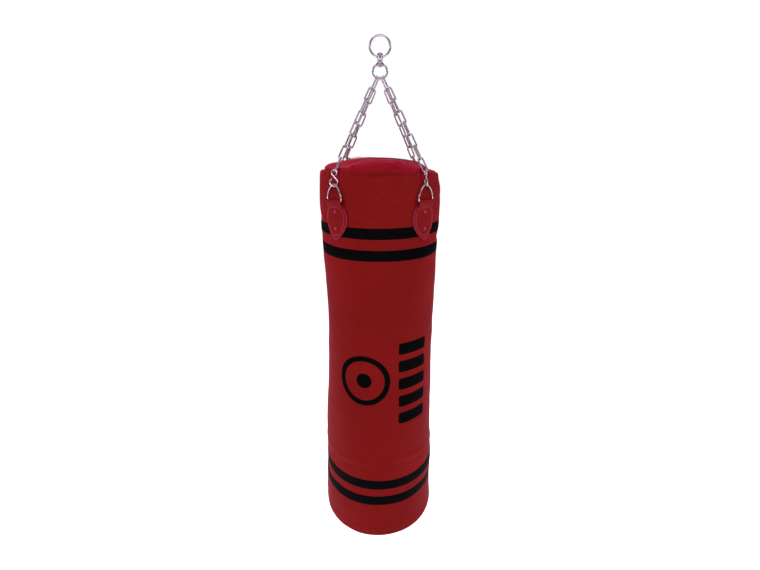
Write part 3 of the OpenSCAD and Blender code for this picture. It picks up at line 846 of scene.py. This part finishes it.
def back_seam():
    """The wall's one upright seam: a folded strip with two rows of stitches, at the back."""
    cols = ((-7.2, -0.2), (-6.8, 0.45), (-5.5, 0.75), (0.0, 0.8), (5.5, 0.75), (6.6, 1.05), (7.2, 0.9), (7.6, -0.2))
    verts, faces = [], []
    n = 150
    for i in range(n + 1):
        d = 40 + (989 - 40) * i / n
        for u, up in cols:
            az = 90 + u / 146 * 180 / math.pi
            p, nn = on_wall(az, d)
            verts.append(p + Vector((math.cos(math.radians(az)), math.sin(math.radians(az)), 0)) * up)
    m = len(cols)
    for i in range(n):
        for c in range(m - 1):
            k = i * m + c
            faces.append((k, k + m, k + m + 1, k + 1))
    ob = mesh_object("back_seam", verts, faces, RED)
    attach(ob, "bag")
    for tag, u in (("left", -4.2), ("right", 4.2)):
        path = []
        for i in range(n + 1):
            d = 42 + (987 - 42) * i / n
            az = 90 + u / 146 * 180 / math.pi
            p, nn = on_wall(az, d)
            path.append((p + nn * 0.78, nn))
        stitches(f"back_stitch_{tag}", path, 4.2, 0.9, 0.5, THREAD_DARK, gap=2.2)


back_seam()


# ---------------------------------------------------------------- zip

ZIP_HALF = 100.0


def on_arc(x, y, up):
    """Point on the crown's even arc, up above it, where the slider runs."""
    a = math.asin(x / CROWN_ARC)
    r = CROWN_ARC + up
    return Vector((r * math.sin(a), y, CROWN_Z - CROWN_ARC + r * math.cos(a)))


def zip_tape():
    verts, faces = [], []
    n, cols = 120, (-13.0, -12.6, -10.0, -6.0, -3.0, 0.0, 3.0, 6.0, 10.0, 12.6, 13.0)
    ups = (0.15, 0.75, 0.85, 0.9, 0.9, 0.9, 0.9, 0.9, 0.85, 0.75, 0.15)
    for i in range(n + 1):
        x = -ZIP_HALF + 2 * ZIP_HALF * i / n
        for y, up in zip(cols, ups):
            ease = 0.18 * math.sin(x * 0.21 + y) * smooth(4, 12, abs(y))
            verts.append(on_arc(x, y, up + ease))
    m = len(cols)
    base = len(verts)
    for i in range(n + 1):
        x = -ZIP_HALF + 2 * ZIP_HALF * i / n
        for y in cols:
            verts.append(on_arc(x, y, 0.1))
    for i in range(n):
        for c in range(m - 1):
            k = i * m + c
            faces.append((k, k + m, k + m + 1, k + 1))
            faces.append((base + k, base + k + 1, base + k + m + 1, base + k + m))
    rim = [i * m for i in range(n + 1)] + [n * m + c for c in range(1, m)]
    rim += [i * m + m - 1 for i in range(n - 1, -1, -1)] + [c for c in range(m - 2, 0, -1)]
    for a, b in zip(rim, rim[1:] + rim[:1]):
        faces.append((a, base + a, base + b, b))
    ob = mesh_object("zip_tape_woven", verts, faces, TAPE)
    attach(ob, "bag")
    return ob


def zip_teeth():
    """Two rows of moulded teeth that mesh along the middle."""
    verts, faces = [], []
    pitch, count = 1.7, 114
    for i in range(count):
        x = -ZIP_HALF + 3 + i * pitch
        side = 1 if i % 2 else -1
        prof = ((-2.3, 0.36), (-1.2, 0.50), (0.0, 0.62), (0.9, 0.52), (1.3, 0.2))
        base = len(verts)
        for y, w in prof:
            for dx, up in ((-w, 0.85), (-w, 1.7), (-w * 0.6, 2.05), (w * 0.6, 2.05), (w, 1.7), (w, 0.85)):
                verts.append(on_arc(x + dx, side * y * -1, up))
        k = 6
        for r in range(len(prof) - 1):
            for j in range(k):
                a = base + r * k
                q = (j + 1) % k
                faces.append((a + j, a + q, a + k + q, a + k + j))
        faces.append(tuple(base + j for j in range(k)))
        faces.append(tuple(base + (len(prof) - 1) * k + j for j in reversed(range(k))))
    ob = mesh_object("zip_teeth", verts, faces, TEETH)
    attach(ob, "bag")
    return ob


tape = zip_tape()
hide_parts("zip_tape")
zip_teeth()
for tag, y in (("front", -10.6), ("rear", 10.6)):
    line = [(on_arc(-ZIP_HALF + 1 + (2 * ZIP_HALF - 2) * i / 120, y, 0.85), Vector((0, 0, 1))) for i in range(121)]
    stitches(f"zip_stitch_{tag}", line, 2.6, 0.7, 0.4, THREAD_DARK, gap=1.5)


# ---------------------------------------------------------------- carried-over CAD nodes

for name, ob in nodes.items():
    metal = name.startswith(("link_", "s_hook_", "d_ring_", "swivel_", "hanger", "lower_ring", "rivet_washers"))
    # Chain, rings, hooks and washers take the lavender-tinted steel, whose tint is a painted reflection
    material = STEEL_LAVENDER_REFLECTION if metal else ENAMEL if name == "rivets" else ENAMEL_DARK if name.startswith("zip_") else RED
    ob.data.materials.clear()
    ob.data.materials.append(material)


# ---------------------------------------------------------------- stage, light, camera

def stage_floor():
    """A pale floor: a wide flat disc far below the bag."""
    z = -1950.0
    n = 96
    verts, faces = [], []
    radii = (1, 600, 1200, 2000, 3000, 4500, 7000, 11000)
    for r in radii:
        for i in range(n):
            a = 2 * math.pi * i / n
            verts.append((r * math.cos(a), r * math.sin(a), z))
    for k in range(len(radii) - 1):
        for i in range(n):
            j = (i + 1) % n
            faces.append((k * n + i, (k + 1) * n + i, (k + 1) * n + j, k * n + j))
    faces.append(tuple(range(n))[::-1])
    m = Nodes("floor_pale")
    fine = m.noise(3.0, 2.0, 0.5)
    tone = m.ramp(fine, "Fac", [(0.3, (0.93, 0.93, 0.935)), (0.7, (0.955, 0.955, 0.96))])
    m.link(tone, "Color", m.bsdf, "Base Color")
    m.set("Roughness", 0.9)
    m.set("Specular IOR Level", 0.0)
    m.set("Emission Color", (1, 1, 1, 1))
    seen = m.tree.nodes.new("ShaderNodeLightPath")
    glow = m.tree.nodes.new("ShaderNodeMapRange")
    glow.inputs["To Min"].default_value = 0.02
    glow.inputs["To Max"].default_value = 0.90
    m.link(seen, "Is Camera Ray", glow, "Value")
    m.link(glow, "Result", m.bsdf, "Emission Strength")
    ob = mesh_object("stage_floor", verts, faces, m.mat)


stage_floor()

world = bpy.data.worlds.new("studio")
bpy.context.scene.world = world
world.use_nodes = True
wt = world.node_tree
wt.nodes.clear()
# What polished metal sees: a dark horizon, a pale band above it, and a dim ceiling
SKY = ((0.00, (0.14, 0.11, 0.16)), (0.40, (0.035, 0.012, 0.035)), (0.585, (0.03, 0.010, 0.030)), (0.63, (0.60, 0.54, 0.62)),
       (0.68, (0.95, 0.92, 0.97)), (0.72, (0.05, 0.02, 0.055)), (0.86, (0.09, 0.05, 0.10)), (0.94, (0.8, 0.76, 0.82)))
coord = wt.nodes.new("ShaderNodeTexCoord")
split = wt.nodes.new("ShaderNodeSeparateXYZ")
wt.links.new(coord.outputs["Generated"], split.inputs["Vector"])
sky = wt.nodes.new("ShaderNodeValToRGB")
els = sky.color_ramp.elements
for pos, col in SKY:
    e = els.new(pos)
    e.color = (*col, 1)
els.remove(els[0])
els.remove(els[-1])
up = wt.nodes.new("ShaderNodeMapRange")
up.inputs["From Min"].default_value = -1.0
up.inputs["From Max"].default_value = 1.0
wt.links.new(split.outputs["Z"], up.inputs["Value"])
wt.links.new(up.outputs["Result"], sky.inputs["Fac"])


def background(strength):
    n = wt.nodes.new("ShaderNodeBackground")
    n.inputs["Color"].default_value = (1, 1, 1, 1)
    n.inputs["Strength"].default_value = strength
    return n


room = background(1.0)
wt.links.new(sky.outputs["Color"], room.inputs["Color"])
ambient = background(0.24)
plain = background(1.0)
path = wt.nodes.new("ShaderNodeLightPath")
shiny = wt.nodes.new("ShaderNodeMixShader")
wt.links.new(path.outputs["Is Glossy Ray"], shiny.inputs["Fac"])
wt.links.new(ambient.outputs["Background"], shiny.inputs[1])
wt.links.new(room.outputs["Background"], shiny.inputs[2])
mix = wt.nodes.new("ShaderNodeMixShader")
wt.links.new(path.outputs["Is Camera Ray"], mix.inputs["Fac"])
wt.links.new(shiny.outputs["Shader"], mix.inputs[1])
wt.links.new(plain.outputs["Background"], mix.inputs[2])
out = wt.nodes.new("ShaderNodeOutputWorld")
wt.links.new(mix.outputs["Shader"], out.inputs["Surface"])


def area_light(name, place, target, size, power, colour=(1, 1, 1), glossy=False, diffuse=True):
    data = bpy.data.lights.new(name, "AREA")
    data.shape = "RECTANGLE"
    data.size, data.size_y = size
    data.energy = power
    data.color = colour
    ob = bpy.data.objects.new(name, data)
    ob.location = place
    ob.rotation_euler = (Vector(target) - Vector(place)).to_track_quat("-Z", "Y").to_euler()
    ob.visible_glossy = glossy
    ob.visible_diffuse = diffuse
    bpy.context.scene.collection.objects.link(ob)


MIDDLE = (0, 0, -0.75)
area_light("front_soft", (0.4, -4.2, 0.9), MIDDLE, (3.0, 2.0), 36)
area_light("key_left", (-3.4, -1.5, 0.2), MIDDLE, (1.6, 3.2), 48)
area_light("fill_right", (3.4, -1.5, -0.1), MIDDLE, (1.6, 3.2), 42)
area_light("top_soft", (-0.7, 1.5, 1.5), (0, 0, -0.3), (1.6, 1.2), 52, (1.0, 0.80, 0.92))
area_light("strip_left", (-1.9, -2.2, -0.1), MIDDLE, (0.5, 2.6), 9, glossy=True)
area_light("strip_right", (2.2, -1.6, 0.1), MIDDLE, (0.30, 2.4), 6, glossy=True)
area_light("low_front", (0.1, -3.2, -0.80), (0, 0, -0.4), (2.0, 0.8), 20, glossy=True, diffuse=False)
area_light("rim_left", (-2.6, 1.6, 0.2), MIDDLE, (1.0, 3.0), 14, (1.0, 0.88, 0.96))
area_light("rim_right", (2.6, 1.6, 0.2), MIDDLE, (1.0, 3.0), 14, (1.0, 0.88, 0.96))

scene = bpy.context.scene
scene.view_settings.view_transform = "Standard"

cam_data = bpy.data.cameras.new("camera")
cam_data.lens = 19.74
cam_data.sensor_width = 36.0
cam_data.shift_y = -0.059
cam_data.clip_end = 100
cam = bpy.data.objects.new("camera", cam_data)
cam.location = (0, -1.089, CROWN_Z * MM + 0.0238)
cam.rotation_euler = (math.radians(90 - 12.382), 0, 0)
scene.collection.objects.link(cam)
scene.camera = cam
